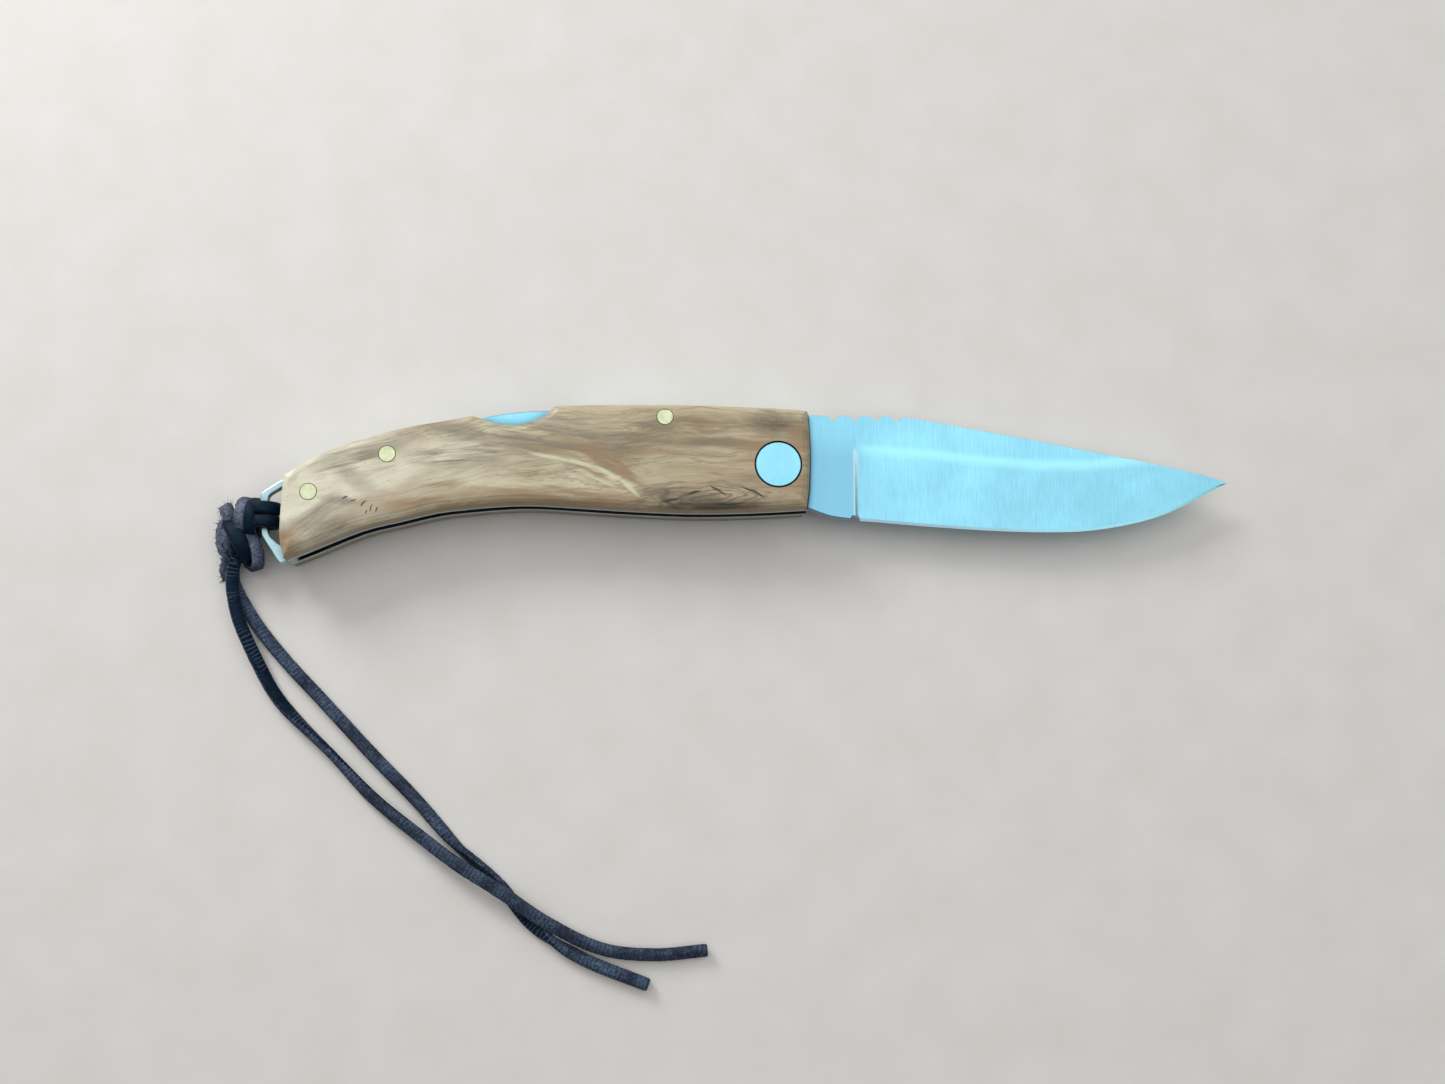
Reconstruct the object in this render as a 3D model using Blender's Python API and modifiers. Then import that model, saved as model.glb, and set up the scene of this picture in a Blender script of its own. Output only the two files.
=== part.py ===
"""Folding lock-back knife with a wooden handle and a leather lanyard, lying open on its side.

Frame: the origin is on the blade's pivot axis, in the plane of the lower scale's outer face.
+X runs along the open blade to its tip, +Y to its spine and the handle's back, and +Z is the
pivot axis, up through the handle's thickness. Sizes are in millimetres, and MM turns them into
metres where a mesh or a curve is made.
"""

import math

import bmesh
import bpy
from mathutils import Matrix, Vector

MM = 0.001

# The handle is a stack along Z: scale, liner, slot, liner, scale.
SCALE_THICK = 3.94
LINER_THICK = 0.98
LAYER_GAP = 0.02
SLOT_LOW = SCALE_THICK + LAYER_GAP + LINER_THICK
SLOT_THICK = 2.92
SLOT_HIGH = SLOT_LOW + SLOT_THICK
MID = SLOT_LOW + SLOT_THICK / 2
HANDLE_THICK = 2 * MID
RIM_INSET = 2.2
RIM_DROP = 1.4
LINER_PROUD = 0.45

# Pins, their holes and the pivot.
PIN_RADIUS = 1.5
HOLE_GAP = 0.07
PIVOT = (0.0, 0.0)
LOCK_PIN = (-21.6, 9.08)
SPACER_PIN_FRONT = (-73.87, 1.34)
SPACER_PIN_REAR = (-88.27, -6.0)
PIVOT_RADIUS = 2.0
DISC_RADIUS = 4.5
DISC_BORE_DEPTH = 1.5
DISC_EASE = 0.3
HEAD_PROUD = 0.06
HEAD_RECESS = 0.02
WASHER_THICK = 0.14
ROUND_STEPS = 36

# The blade.
BLADE_HALF = 1.28
TANG_RADIUS = 5.5
SHOULDER_X = 2.3
PLUNGE_X = 15.2
PLUNGE_LONG = 0.6
TANG_GRIND_SHARE = 0.675
EDGE_HALF = 0.16
EDGE_LAND = 0.55
KEEN_HALF = 0.03
SPINE_CHAMFER = 0.15
TIP_X = 88.6
DISTAL_HEIGHT = 12.0
NOTCH_FIRST_X = 11.3
NOTCH_PITCH = 4.1
NOTCH_WIDTH = 2.1
NOTCH_DEPTH = 0.85
NOTCH_COUNT = 4
NOTCH_POWER = 2.6
CHOIL_X = 15.2
CHOIL_WIDTH = 2.1
CHOIL_DEPTH = 0.65

# The rocking lock bar, its spring and the tail spacer with its bail.
LOCK_HALF = 1.36
NOSE_RADIUS = 5.85
NOSE_REAR_X = -3.0
NOSE_FRONT_X = 2.0
LOCK_TAIL_X = -60.3
SPRING_HALF = 1.3
SPACER_HALF = 1.44
BAIL_HALF = 0.9
TAIL_X = -93.4

# The leather lace.
LACE_RADIUS = 1.1
LACE_GAP = 0.3
KNOT_CENTRE = (-104.2, -12.2, 4.1)
KNOT_RADII = (4.2, 6.9, 4.0)
LOOP_TOP_Z = MID + BAIL_HALF + LACE_GAP + LACE_RADIUS
LOOP_LOW_Z = MID - BAIL_HALF - LACE_GAP - LACE_RADIUS
LOOP_SIDES = {"lanyard_loop_upper": -8.2, "lanyard_loop_lower": -10.8}

# Outlines of the handle, as hand-set points that a smooth curve passes through.
BACK_FRONT = [
    (6.2, 10.75), (2.1, 11.1), (-6.5, 11.42), (-16.8, 11.68), (-28, 11.66), (-37.5, 11.5), (-42.6, 11.35),
]
SCALLOP = [
    (-42.6, 11.35), (-43.9, 9.95), (-45.6, 8.8), (-48.3, 7.78), (-51.1, 7.5), (-54.0, 7.8), (-58.2, 9.25),
]
BACK_MIDDLE = [(-42.6, 11.35), (-49.3, 11.05), (-55.2, 10.15), (-58.2, 9.25)]
BACK_TAIL = [
    (-58.2, 9.25), (-62.9, 8.25), (-70.1, 6.94), (-77.3, 4.99), (-84.4, 2.51), (-89.05, 0.2), (-93.35, -2.6),
]
TAIL_END = [(-93.35, -2.6), (-93.55, -8), (-93.62, -12.6), (-93.3, -16.4), (-92.6, -18.5)]
BELLY = [
    (-92.6, -18.5), (-88.3, -16.7), (-78.95, -12.75), (-71.9, -10.9), (-64.8, -9.15), (-58.4, -8.3),
    (-51.6, -7.72), (-45.8, -7.6), (-37.2, -8.05), (-28.4, -8.55), (-16.7, -8.95), (-5, -8.7), (5.9, -8.05),
]
FRONT_END = [(5.9, -8.05), (6.27, -5.8), (6.53, -0.9), (6.55, 4.9), (6.2, 10.75)]

# Outlines of the blade, each from left to right.
SPINE = [
    (2.3, 11.05), (10.2, 10.92), (22, 10.9), (28.2, 10.36), (37.6, 8.7), (51.7, 6.17), (70.5, 2.6),
    (84.6, -0.25), (88.6, -1.5),
]
EDGE = [
    (1.88, -5.17), (4.2, -6.6), (6.6, -7.7), (11.2, -9.2), (20.7, -10.05), (29.6, -10.76), (41.7, -11.47),
    (51, -11.7), (60.4, -11.42), (69.9, -9.85), (77, -7.65), (84.2, -4.05), (88.6, -1.75),
]
GRIND = [
    (15.2, 4.3), (24.1, 3.68), (30, 3.4), (38.2, 2.4), (51.2, 1.4), (62, 1.55), (70.5, 2.6), (88.6, -1.5),
]

# Outlines of the lock bar, the spring and the spacer.
LOCK_UNDERSIDE = [
    (-60.3, 5.05), (-48, 5.45), (-38.5, 6.05), (-31, 6.45), (-21.6, 6.7), (-14, 7.6), (-8, 7.75), (-3.0, 7.7),
]
SPRING_TOP = [(-57.2, 4.92), (-62, 4.75), (-66, 4.6), (-70.7, 4.55)]
SPRING_LOW = [(-70.7, 3.7), (-66, 3.75), (-62, 3.9), (-57.2, 4.12)]
SPACER_SLOT = [(-62.5, 4.85), (-71, 4.85), (-71, 3.4), (-62.5, 3.4)]
SPACER_UNDERSIDE = [
    (-62.5, 1.9), (-66.3, 0.4), (-70.9, -1.5), (-75.8, -3.8), (-80.7, -7.1), (-84.1, -9.6),
    (-88.0, -12.5), (-90.4, -14.9),
]
BAIL_OUTER = [
    (-91.2, -3.0), (-94.2, -2.5), (-96.4, -3.75), (-98.1, -4.95), (-98.6, -5.9), (-98.6, -7.7),
    (-98.15, -12.5), (-97.7, -13.9), (-96.1, -16.3), (-94.6, -18.5), (-93.6, -18.6), (-91.2, -16.4),
]
BAIL_HOLE = [
    (-92.6, -3.2), (-94.5, -4.1), (-95.7, -4.8), (-96.9, -5.65), (-97.1, -6.7), (-97.0, -11.5),
    (-96.6, -13.3), (-95.6, -14.4), (-94.5, -15.2), (-92.6, -16.3),
]

# Routes of the lanyard's two free strands from the knot to their cut ends.
LONG_STRAND = [
    (-104.0, -20.3, 3.9), (-103.9, -23.1, 3.8), (-102.5, -29.1, 3.4), (-99.0, -37.0, 1.9),
    (-94.2, -44.8, 1.2), (-84.1, -54.7, 1.2), (-76.2, -62.6, 1.5), (-66.7, -69.9, 2.6),
    (-59.3, -75.1, 3.7), (-51.6, -79.8, 3.8), (-43.1, -85.4, 3.1), (-33.0, -90.3, 1.6),
    (-23.0, -91.5, 1.2), (-13.0, -90.7, 1.2),
]
SHORT_STRAND = [
    (-104.7, -20.3, 1.2), (-103.7, -23.4, 1.2), (-99.6, -29.9, 1.2), (-93.6, -37.0, 1.2),
    (-86.5, -44.3, 1.2), (-76.2, -55.0, 1.2), (-68.3, -62.8, 1.2), (-60.4, -71.3, 1.2),
    (-52.6, -78.1, 1.2), (-45.7, -86.0, 1.2), (-36.7, -92.0, 1.2), (-24.0, -97.0, 1.2),
]


def clear_scene():
    for obj in list(bpy.data.objects):
        bpy.data.objects.remove(obj, do_unlink=True)


def collection(name):
    made = bpy.data.collections.new(name)
    bpy.context.scene.collection.children.link(made)
    return made


def material(name, colour, metallic, roughness):
    made = bpy.data.materials.new(name)
    made.use_nodes = True
    shader = made.node_tree.nodes["Principled BSDF"]
    shader.inputs["Base Color"].default_value = (*colour, 1.0)
    shader.inputs["Metallic"].default_value = metallic
    shader.inputs["Roughness"].default_value = roughness
    made.diffuse_color = (*colour, 1.0)
    return made


def through(points, per_span=3):
    """Points along a smooth curve that passes through the given ones (Catmull-Rom)."""
    known = [Vector(point) for point in points]
    known = [2 * known[0] - known[1], *known, 2 * known[-1] - known[-2]]
    found = []
    for before, start, end, after in zip(known, known[1:], known[2:], known[3:]):
        for step in range(per_span):
            t = step / per_span
            found.append(
                0.5
                * (
                    2 * start
                    + (end - before) * t
                    + (2 * before - 5 * start + 4 * end - after) * t**2
                    + (3 * start - before - 3 * end + after) * t**3
                )
            )
    return found + [known[-2]]


def height_at(points, x):
    """Height at x of a smooth curve through points that run from left to right."""
    last = len(points) - 1
    span = next((i for i in range(last) if x <= points[i + 1][0]), last - 1)

    def slope(i):
        low, high = points[max(i - 1, 0)], points[min(i + 1, last)]
        return (high[1] - low[1]) / (high[0] - low[0])

    (x0, y0), (x1, y1) = points[span], points[span + 1]
    wide = x1 - x0
    t = (x - x0) / wide
    start = (2 * t**3 - 3 * t**2 + 1) * y0 + (t**3 - 2 * t**2 + t) * wide * slope(span)
    return start + (3 * t**2 - 2 * t**3) * y1 + (t**3 - t**2) * wide * slope(span + 1)


def joined(runs):
    """One closed outline from runs that meet end to start."""
    return [point for run in runs for point in run[:-1]]


def cornered(runs, reach):
    """One closed outline from runs that meet end to start, with sharp corners that no other point is near."""
    outline = []
    for run in runs:
        outline.append(run[0])
        outline += [p for p in run[1:-1] if (p - run[0]).length > reach and (p - run[-1]).length > reach]
    return outline


def arc(radius, start_x, end_x, count):
    """Upper part of a circle about the pivot, from one x to another."""
    first, last = math.acos(start_x / radius), math.acos(end_x / radius)
    angles = [first + (last - first) * i / (count - 1) for i in range(count)]
    return [Vector((radius * math.cos(a), radius * math.sin(a))) for a in angles]


def add_object(name, mesh, surface, group):
    obj = bpy.data.objects.new(name, mesh)
    if surface:
        mesh.materials.clear()
        mesh.materials.append(surface)
    group.objects.link(obj)
    return obj


def extruded(name, outlines, low, high, surface, group, origin=(0.0, 0.0), edge_round=0.0):
    """A flat piece between two heights. The first outline is its rim and the others are holes."""
    curve = bpy.data.curves.new(name, "CURVE")
    curve.dimensions = "2D"
    curve.fill_mode = "BOTH"
    curve.extrude = ((high - low) / 2 - edge_round) * MM
    curve.bevel_depth = edge_round * MM
    curve.bevel_resolution = 1
    curve.offset = -edge_round * MM
    for outline in outlines:
        spline = curve.splines.new("POLY")
        spline.points.add(len(outline) - 1)
        spline.use_cyclic_u = True
        for point, place in zip(spline.points, outline):
            point.co = ((place[0] - origin[0]) * MM, (place[1] - origin[1]) * MM, 0, 1)
    guide = bpy.data.objects.new(name + "_outline", curve)
    group.objects.link(guide)
    guide.location.z = (low + high) / 2 * MM
    bpy.context.view_layer.update()
    graph = bpy.context.evaluated_depsgraph_get()
    mesh = bpy.data.meshes.new_from_object(guide.evaluated_get(graph))
    work = bmesh.new()
    work.from_mesh(mesh)
    bmesh.ops.translate(work, verts=work.verts, vec=guide.location)
    bmesh.ops.remove_doubles(work, verts=work.verts, dist=1e-6)
    bmesh.ops.dissolve_limit(work, angle_limit=0.001, verts=work.verts, edges=work.edges)
    bmesh.ops.recalc_face_normals(work, faces=work.faces)
    work.to_mesh(mesh)
    work.free()
    bpy.data.objects.remove(guide, do_unlink=True)
    obj = add_object(name, mesh, surface, group)
    obj.location = (origin[0] * MM, origin[1] * MM, 0)
    return obj


def turned(name, profile, centre, surface, group, closed=False):
    """A round piece: (radius, height) points run down its outer side from top to bottom."""
    mesh = bpy.data.meshes.new(name)
    count = len(profile)
    edges = [(i, (i + 1) % count) for i in range(count if closed else count - 1)]
    mesh.from_pydata([(radius * MM, 0, height * MM) for radius, height in profile], edges, [])
    obj = add_object(name, mesh, surface, group)
    obj.location = (centre[0] * MM, centre[1] * MM, 0)
    screw = obj.modifiers.new("Turn", "SCREW")
    screw.steps = ROUND_STEPS
    screw.render_steps = ROUND_STEPS
    screw.use_merge_vertices = True
    screw.merge_threshold = 1e-6
    screw.use_smooth_shade = False
    return obj


def drill(obj, holes, cutters, low=-1.0, high=HANDLE_THICK + 1.0):
    """Cuts round holes along Z, each given as its centre and radius."""
    mesh = bpy.data.meshes.new(obj.name + "_drill")
    work = bmesh.new()
    for (x, y), radius in holes:
        place = Matrix.Translation(Vector((x, y, (low + high) / 2)) * MM)
        size = {"radius1": radius * MM, "radius2": radius * MM, "depth": (high - low) * MM}
        bmesh.ops.create_cone(work, cap_ends=True, segments=ROUND_STEPS, matrix=place, **size)
    work.to_mesh(mesh)
    work.free()
    cutter = add_object(mesh.name, mesh, None, cutters)
    cut_with(obj, cutter, "DIFFERENCE")


def cut_with(obj, cutter, operation):
    cutter.hide_render = True
    cutter.display_type = "WIRE"
    boolean = obj.modifiers.new(operation.title(), "BOOLEAN")
    boolean.operation = operation
    boolean.solver = "EXACT"
    boolean.object = cutter


def round_edges(obj, width, segments=1):
    bevel = obj.modifiers.new("Rounded edges", "BEVEL")
    bevel.width = width * MM
    bevel.segments = segments
    bevel.limit_method = "ANGLE"
    bevel.angle_limit = math.radians(50)


def handle_outline():
    """The handle seen from above, with the thumb scallop in its back."""
    back = joined([through(BACK_FRONT), through(SCALLOP, 2), through(BACK_TAIL)])
    back.append(Vector(BACK_TAIL[-1]))
    return cornered([back, through(TAIL_END), through(BELLY), through(FRONT_END)], 1.2 * RIM_INSET)


def wood_outline():
    """The handle's outline with its front end set back, where the liners stand proud of the wood."""
    setback = Vector((LINER_PROUD, 0))
    return [p - setback if p.x > BELLY[-1][0] - LINER_PROUD else p for p in handle_outline()]


def rivet_holes():
    return [(centre, PIN_RADIUS + HOLE_GAP) for centre in (LOCK_PIN, SPACER_PIN_FRONT, SPACER_PIN_REAR)]


def round_rim(work, face, steps=4):
    """Insets and raises a face step by step along a quarter of an ellipse."""
    angles = [math.pi / 2 * step / steps for step in range(steps + 1)]
    for low, high in zip(angles, angles[1:]):
        inward = RIM_INSET * (math.cos(low) - math.cos(high))
        outward = RIM_DROP * (math.sin(high) - math.sin(low))
        bmesh.ops.inset_individual(
            work, faces=[face], thickness=inward * MM, depth=outward * MM, use_even_offset=True
        )


def wood_slab(name, low, high, round_low, round_high):
    """A mesh of the wood's outline between two heights, with its lower rim, its upper rim or both rounded."""
    work = bmesh.new()
    base = low + RIM_DROP * round_low
    under = work.faces.new([work.verts.new((p.x * MM, p.y * MM, base * MM)) for p in wood_outline()])
    grown = bmesh.ops.extrude_face_region(work, geom=[under], use_keep_orig=True)["geom"]
    over = next(item for item in grown if isinstance(item, bmesh.types.BMFace))
    rise = high - RIM_DROP * round_high - base
    bmesh.ops.translate(work, verts=over.verts, vec=(0, 0, rise * MM))
    bmesh.ops.recalc_face_normals(work, faces=work.faces)
    if round_high:
        round_rim(work, over)
    if round_low:
        round_rim(work, under)
    mesh = bpy.data.meshes.new(name)
    work.to_mesh(mesh)
    work.free()
    return mesh


def make_scale(name, near, surface, group, cutters):
    low = HANDLE_THICK - SCALE_THICK if near else 0.0
    mesh = wood_slab(name, low, low + SCALE_THICK, round_low=not near, round_high=near)
    scale = add_object(name, mesh, surface, group)
    drill(scale, [(PIVOT, DISC_RADIUS + HOLE_GAP), *rivet_holes()], cutters)
    return scale


def make_liner(name, near, surface, group, cutters):
    low = SLOT_HIGH if near else SLOT_LOW - LINER_THICK
    liner = extruded(name, [handle_outline()], low, low + LINER_THICK, surface, group)
    drill(liner, [(PIVOT, PIVOT_RADIUS + HOLE_GAP), *rivet_holes()], cutters)
    return liner


def make_pin(name, centre, surface, group, envelope):
    """A straight rivet through the whole handle, its heads filed to the shape of the wood."""
    top, low = HANDLE_THICK + 1, -1
    profile = [(0, top), (PIN_RADIUS, top), (PIN_RADIUS, low), (0, low)]
    pin = turned(name, profile, centre, surface, group)
    cut_with(pin, envelope, "INTERSECT")
    return pin


def make_pivot(steel, group, cutters):
    """The pivot pin and the two round heads that sit flush in the scales."""
    inner = SCALE_THICK + LAYER_GAP / 2
    reach = inner - DISC_BORE_DEPTH
    pin = [(0, HANDLE_THICK - reach), (PIVOT_RADIUS, HANDLE_THICK - reach), (PIVOT_RADIUS, reach), (0, reach)]
    turned("pivot_pin", pin, PIVOT, steel, group)
    r = DISC_RADIUS
    ease = DISC_EASE
    top = HANDLE_THICK
    near = [(0, top), (r - ease, top), (r, top - ease), (r, top - SCALE_THICK), (0, top - SCALE_THICK)]
    disc_near = turned("pivot_disc_near", near, PIVOT, steel, group)
    bore = [(PIVOT, PIVOT_RADIUS + HOLE_GAP)]
    drill(disc_near, bore, cutters, high=HANDLE_THICK - reach + 0.1)
    far = [(0, SCALE_THICK), (r, SCALE_THICK), (r, ease), (r - ease, 0), (0, 0)]
    disc_far = turned("pivot_disc_far", far, PIVOT, steel, group)
    drill(disc_far, bore, cutters, low=reach - 0.1)


def make_washer(name, low, surface, group):
    inner, outer = PIVOT_RADIUS + HOLE_GAP, DISC_RADIUS + 0.1
    high = low + WASHER_THICK
    profile = [(inner, high), (outer, high), (outer, low), (inner, low)]
    return turned(name, profile, PIVOT, surface, group, closed=True)


def dip(x, centre, width, depth):
    """Depth at x of one notch, with steep sides and a round bottom."""
    away = abs(x - centre) / (width / 2)
    return depth * 0.5 * (1 + math.cos(math.pi * away**NOTCH_POWER)) if away < 1 else 0.0


def notch_centres():
    return [NOTCH_FIRST_X + NOTCH_PITCH * i for i in range(NOTCH_COUNT)]


def spine_height(x):
    if x < SHOULDER_X:
        return math.sqrt(max(TANG_RADIUS**2 - x**2, 0.0))
    return height_at(SPINE, x) - sum(dip(x, c, NOTCH_WIDTH, NOTCH_DEPTH) for c in notch_centres())


def edge_height(x):
    if x < EDGE[0][0]:
        return -math.sqrt(max(TANG_RADIUS**2 - x**2, 0.0))
    return height_at(EDGE, x) + dip(x, CHOIL_X, CHOIL_WIDTH, CHOIL_DEPTH)


def blade_section(x):
    """Ten (y, z) points round the blade at x: flat-sided in the tang, ground to the edge beyond."""
    top, low = spine_height(x), edge_height(x)
    tall = top - low
    chamfer = min(SPINE_CHAMFER, 0.2 * tall)
    t = min(max((x - PLUNGE_X) / PLUNGE_LONG, 0.0), 1.0)
    ground = 1 - (1 - t) ** 2
    half = BLADE_HALF * (1 - ground + ground * min(1.0, tall / DISTAL_HEIGHT))
    half = max(half, EDGE_HALF)
    grind = low + TANG_GRIND_SHARE * tall
    grind += ground * (min(height_at(GRIND, max(x, PLUNGE_X)), top - 2 * chamfer) - grind)
    land = chamfer + ground * (min(EDGE_LAND, 0.3 * tall) - chamfer)
    side = half + ground * (EDGE_HALF - half)
    keen = half - chamfer + ground * (KEEN_HALF - half + chamfer)
    near = [(top, half - chamfer), (top - chamfer, half), (grind, half), (low + land, side), (low, keen)]
    return near + [(y, -z) for y, z in reversed(near)]


def blade_stations():
    """Where the blade's sections stand: close together where its outline bends quickly."""
    first = TANG_RADIUS - 0.03
    tang = [-first * math.cos(math.pi * i / 24) for i in range(16)]
    stations = [x for x in tang if x < SHOULDER_X - 0.1]
    stations += [SHOULDER_X - 0.01, SHOULDER_X + 0.01, 3.2, 4.2, 5.4, 6.6, 8.0, 9.2]
    shares = (-1.0, -0.88, -0.75, -0.5, 0.0, 0.5, 0.75, 0.88, 1.0)
    stations += [c + share * NOTCH_WIDTH / 2 for c in notch_centres() for share in shares]
    stations += [CHOIL_X + share * CHOIL_WIDTH / 2 for share in shares[::2]]
    stations += [PLUNGE_X + PLUNGE_LONG * i / 4 for i in range(5)]
    stations += [26, 27, 28.2, 30]
    stations += [32 + 3 * i for i in range(17)]
    stations += [82, 83.5, 85, 86.3, 87.3, 88.0, TIP_X]
    return sorted({round(x, 2) for x in stations})


def make_blade(surface, group, cutters):
    """A loft along X through the blade's sections, with the pivot hole cut through its tang."""
    work = bmesh.new()
    rings = []
    for x in blade_stations():
        ring = [work.verts.new((x * MM, y * MM, (MID + z) * MM)) for y, z in blade_section(x)]
        rings.append(ring)
    for ring, following in zip(rings, rings[1:]):
        for i in range(len(ring)):
            j = (i + 1) % len(ring)
            work.faces.new((ring[i], ring[j], following[j], following[i]))
    work.faces.new(rings[0])
    work.faces.new(rings[-1])
    bmesh.ops.recalc_face_normals(work, faces=work.faces)
    mesh = bpy.data.meshes.new("blade")
    work.to_mesh(mesh)
    work.free()
    blade = add_object("blade", mesh, surface, group)
    drill(blade, [(PIVOT, PIVOT_RADIUS + HOLE_GAP)], cutters)
    return blade


def make_lock_bar(surface, group, cutters):
    """The rocker along the handle's back, whose nose sits behind the blade's shoulder."""
    whole_back = through(BACK_FRONT + BACK_MIDDLE[1:-1] + BACK_TAIL)
    back = [p for p in whole_back if LOCK_TAIL_X < p.x < NOSE_FRONT_X]
    top = [Vector((NOSE_FRONT_X, back[0].y)), *back, Vector((LOCK_TAIL_X, back[-1].y - 0.1))]
    nose = arc(NOSE_RADIUS, NOSE_REAR_X, NOSE_FRONT_X, 7)
    underside = through(LOCK_UNDERSIDE)
    outline = joined([top, [top[-1], underside[0]], underside + nose + [top[0]]])
    bar = extruded("lock_bar", [outline], MID - LOCK_HALF, MID + LOCK_HALF, surface, group, LOCK_PIN)
    round_edges(bar, 0.2)
    drill(bar, [(LOCK_PIN, PIN_RADIUS + HOLE_GAP)], cutters)
    return bar


def make_lock_spring(surface, group):
    outline = through(SPRING_TOP) + through(SPRING_LOW)
    return extruded("lock_spring", [outline], MID - SPRING_HALF, MID + SPRING_HALF, surface, group)


def make_spacer(surface, group, cutters):
    """The tail plate between the liners, with the thinner lanyard bail standing out behind it."""
    front_x = SPACER_SLOT[0][0]
    back = [p for p in through(BACK_TAIL) if TAIL_X < p.x < front_x]
    belly = [p for p in through(BELLY) if p.x < SPACER_UNDERSIDE[-1][0] - 0.6]
    tail = [p for p in through(TAIL_END) if belly[0].y + 1 < p.y < back[-1].y - 1]
    outline = [Vector((front_x, back[0].y + 0.1)), *back, *tail, *belly]
    outline += list(reversed(through(SPACER_UNDERSIDE)))
    outline += [Vector(point) for point in reversed(SPACER_SLOT)]
    spacer = extruded("spacer", [outline], MID - SPACER_HALF, MID + SPACER_HALF, surface, group)
    loops = [through(BAIL_OUTER, 4), through(BAIL_HOLE, 4)]
    bail = extruded("bail", loops, MID - BAIL_HALF, MID + BAIL_HALF, None, cutters, edge_round=0.22)
    cut_with(spacer, bail, "UNION")
    drill(spacer, rivet_holes()[1:], cutters)
    return spacer


def make_lace(name, places, surface, group):
    """A round lace along points that are already close together."""
    curve = bpy.data.curves.new(name, "CURVE")
    curve.dimensions = "3D"
    curve.bevel_depth = LACE_RADIUS * MM
    curve.bevel_resolution = 2
    curve.use_fill_caps = True
    spline = curve.splines.new("POLY")
    spline.points.add(len(places) - 1)
    for point, place in zip(spline.points, places):
        point.co = (*(Vector(place) * MM), 1)
    curve.materials.append(surface)
    lace = bpy.data.objects.new(name, curve)
    group.objects.link(lace)
    return lace


def make_loop(name, y, surface, group):
    """One turn of the lace over the bail's end bar and back under it."""
    bar_x = (BAIL_HOLE[5][0] + BAIL_OUTER[6][0]) / 2
    bar_half = (BAIL_HOLE[5][0] - BAIL_OUTER[6][0]) / 2
    inside_x = bar_x + bar_half + 2 * LACE_GAP / 3 + LACE_RADIUS
    knot_x = KNOT_CENTRE[0] + KNOT_RADII[0] + LACE_GAP
    places = [(knot_x, LOOP_TOP_Z), (bar_x - bar_half, LOOP_TOP_Z)]
    radius_z = (LOOP_TOP_Z - LOOP_LOW_Z) / 2
    bend = inside_x - bar_x
    for step in range(9):
        angle = math.pi * (0.5 - step / 8)
        places.append((bar_x + bend * math.cos(angle), MID + radius_z * math.sin(angle)))
    places += [(bar_x - bar_half, LOOP_LOW_Z), (knot_x, LOOP_LOW_Z)]
    return make_lace(name, [(x, y, z) for x, z in places], surface, group)


def make_knot(surface, group):
    """The plain body of the knot, a lump that the strands and the loop end against."""
    mesh = bpy.data.meshes.new("lanyard_knot")
    work = bmesh.new()
    bmesh.ops.create_uvsphere(work, u_segments=24, v_segments=16, radius=1.0)
    bmesh.ops.scale(work, verts=work.verts, vec=Vector(KNOT_RADII) * MM)
    work.to_mesh(mesh)
    work.free()
    mesh.shade_smooth()
    knot = add_object("lanyard_knot", mesh, surface, group)
    knot.location = Vector(KNOT_CENTRE) * MM
    return knot


def smooth_round_pieces(group):
    for obj in group.objects:
        if obj.type == "MESH":
            obj.data.shade_smooth()
            obj.data.set_sharp_from_angle(angle=math.radians(35))


def main():
    clear_scene()
    knife = collection("rigging_knife")
    cutters = collection("cutters")
    wood = material("olive_wood", (0.55, 0.42, 0.28), 0.0, 0.5)
    steel = material("satin_steel", (0.62, 0.65, 0.68), 1.0, 0.3)
    spring_steel = material("spring_steel", (0.5, 0.52, 0.55), 1.0, 0.35)
    brass = material("brass", (0.75, 0.66, 0.38), 1.0, 0.35)
    bronze = material("bronze", (0.6, 0.42, 0.22), 1.0, 0.4)
    leather = material("leather", (0.03, 0.035, 0.045), 0.0, 0.6)

    make_scale("scale_near", True, wood, knife, cutters)
    make_scale("scale_far", False, wood, knife, cutters)
    make_liner("liner_near", True, steel, knife, cutters)
    make_liner("liner_far", False, steel, knife, cutters)
    make_pivot(steel, knife, cutters)
    make_washer("washer_near", SLOT_HIGH - LAYER_GAP - WASHER_THICK, bronze, knife)
    make_washer("washer_far", SLOT_LOW + LAYER_GAP, bronze, knife)
    heads = wood_slab("rivet_heads", HEAD_RECESS, HANDLE_THICK + HEAD_PROUD, True, True)
    envelope = add_object("rivet_heads", heads, None, cutters)
    make_pin("lock_pin", LOCK_PIN, brass, knife, envelope)
    make_pin("spacer_pin_front", SPACER_PIN_FRONT, brass, knife, envelope)
    make_pin("spacer_pin_rear", SPACER_PIN_REAR, brass, knife, envelope)
    make_blade(steel, knife, cutters)
    make_lock_bar(steel, knife, cutters)
    make_lock_spring(spring_steel, knife)
    make_spacer(steel, knife, cutters)
    make_knot(leather, knife)
    for name, y in LOOP_SIDES.items():
        make_loop(name, y, leather, knife)
    make_lace("lanyard_strand_long", through(LONG_STRAND, 3), leather, knife)
    make_lace("lanyard_strand_short", through(SHORT_STRAND, 3), leather, knife)
    smooth_round_pieces(knife)


main()
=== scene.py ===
"""The looks of the folding knife: its materials, leather lanyard, floor, light and camera.

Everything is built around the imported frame, in its axes and in metres. Sizes that are easier to
read in millimetres are written as such and multiplied by MM.
"""

import math
import random

import bmesh
import bpy
from mathutils import Matrix, Vector, noise


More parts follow.
